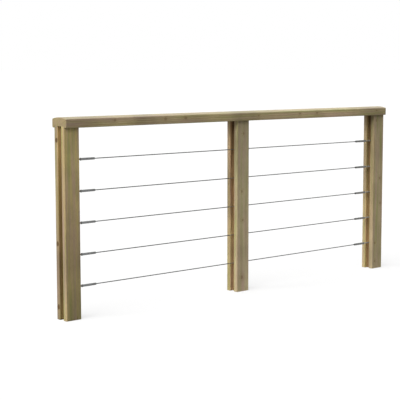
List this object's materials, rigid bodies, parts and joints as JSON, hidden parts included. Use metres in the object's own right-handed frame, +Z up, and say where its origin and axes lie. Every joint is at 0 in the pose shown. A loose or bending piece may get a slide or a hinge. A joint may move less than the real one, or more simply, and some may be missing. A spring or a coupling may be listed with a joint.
{
  "type": "deck railing section",
  "caption": "Timber deck railing section: a crowned top rail on posts laminated from boards, with taut horizontal wire ropes on threaded terminals between the posts.",
  "frame": {"origin": "middle of the middle post's foot", "axes": "+X along the rail, +Y from front to back, +Z up the posts"},
  "size_m": [2.4, 0.12, 1.012],
  "materials": {
    "rail_timber": "matte",
    "post_face_timber": "matte",
    "post_core_timber": "matte",
    "wire_rope": "satin",
    "terminal_steel": "satin"
  },
  "bodies": {
    "root": {"top_rail": "rail_timber", "post_left_front_board": "post_face_timber", "post_left_core_board": "post_core_timber", "post_left_back_board": "post_face_timber", "post_middle_front_board": "post_face_timber", "post_middle_core_board": "post_core_timber", "post_middle_back_board": "post_face_timber", "post_right_front_board": "post_face_timber", "post_right_core_board": "post_core_timber", "post_right_back_board": "post_face_timber", "wire_1": "wire_rope", "left_stud_1": "terminal_steel", "left_lock_nut_1": "terminal_steel", "left_sleeve_1": "terminal_steel", "right_stud_1": "terminal_steel", "right_lock_nut_1": "terminal_steel", "right_sleeve_1": "terminal_steel", "wire_2": "wire_rope", "left_stud_2": "terminal_steel", "left_lock_nut_2": "terminal_steel", "left_sleeve_2": "terminal_steel", "right_stud_2": "terminal_steel", "right_lock_nut_2": "terminal_steel", "right_sleeve_2": "terminal_steel", "wire_3": "wire_rope", "left_stud_3": "terminal_steel", "left_lock_nut_3": "terminal_steel", "left_sleeve_3": "terminal_steel", "right_stud_3": "terminal_steel", "right_lock_nut_3": "terminal_steel", "right_sleeve_3": "terminal_steel", "wire_4": "wire_rope", "left_stud_4": "terminal_steel", "left_lock_nut_4": "terminal_steel", "left_sleeve_4": "terminal_steel", "right_stud_4": "terminal_steel", "right_lock_nut_4": "terminal_steel", "right_sleeve_4": "terminal_steel", "wire_5": "wire_rope", "left_stud_5": "terminal_steel", "left_lock_nut_5": "terminal_steel", "left_sleeve_5": "terminal_steel", "right_stud_5": "terminal_steel", "right_lock_nut_5": "terminal_steel", "right_sleeve_5": "terminal_steel"}
  },
  "joints": []
}
